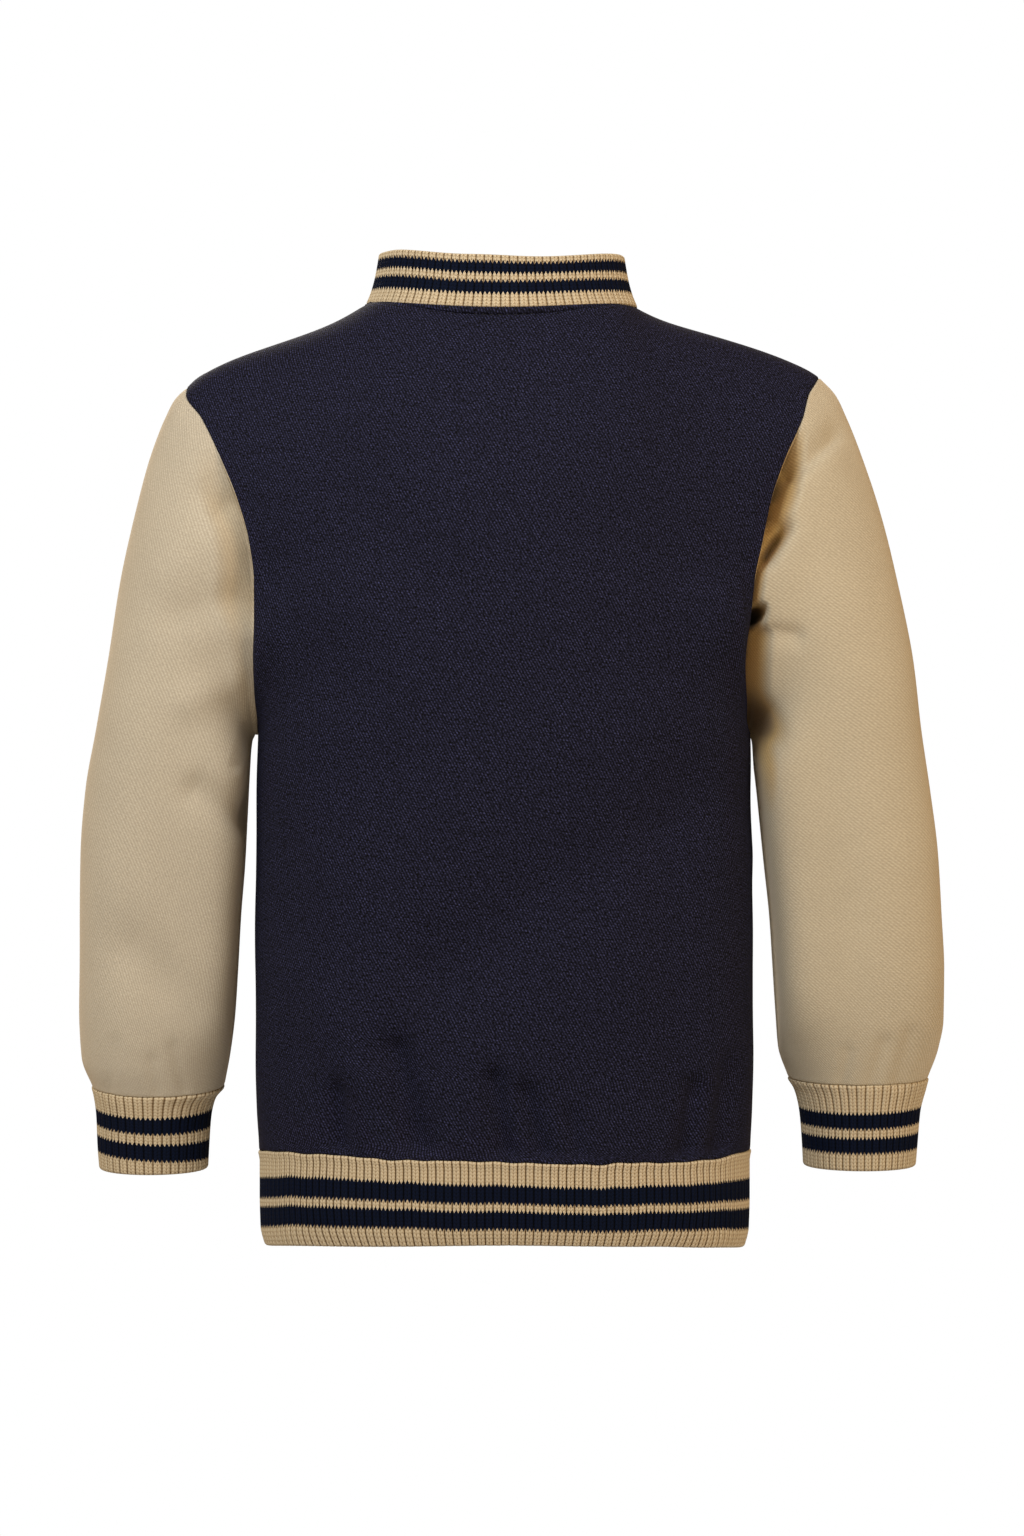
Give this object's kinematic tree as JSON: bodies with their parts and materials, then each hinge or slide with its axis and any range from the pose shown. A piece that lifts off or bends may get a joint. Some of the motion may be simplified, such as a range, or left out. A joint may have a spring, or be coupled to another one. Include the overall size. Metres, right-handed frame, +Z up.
{
  "type": "bomber jacket",
  "caption": "Child's varsity bomber jacket, hollow and in its worn shape: twill body and sleeves with a striped rib collar, cuffs and hem band, and a front that closes with snaps",
  "frame": {"origin": "midway between the two high shoulder points, where the wearer's shoulders hold the jacket up", "axes": "+Z is up, +Y points out of the back, -Y out of the closing front, and +X towards the wearer's left sleeve"},
  "size_m": [0.3994, 0.1684, 0.4543],
  "materials": {
    "navy_twill": "matt cotton twill, dark navy",
    "sand_twill": "matt cotton twill, sand",
    "striped_rib": "matt rib knit, sand with navy stripes",
    "snap_cap": "satin navy enamel on a domed cap"
  },
  "bodies": {
    "root": {"back": "navy_twill", "front_left": "navy_twill", "front_right": "navy_twill", "sleeve_left": "sand_twill", "sleeve_right": "sand_twill", "cuff_left": "striped_rib", "cuff_right": "striped_rib", "collar": "striped_rib", "hem_rib": "striped_rib", "snap_1": "snap_cap", "snap_2": "snap_cap", "snap_3": "snap_cap", "snap_4": "snap_cap", "snap_5": "snap_cap", "snap_6": "snap_cap"}
  },
  "joints": []
}
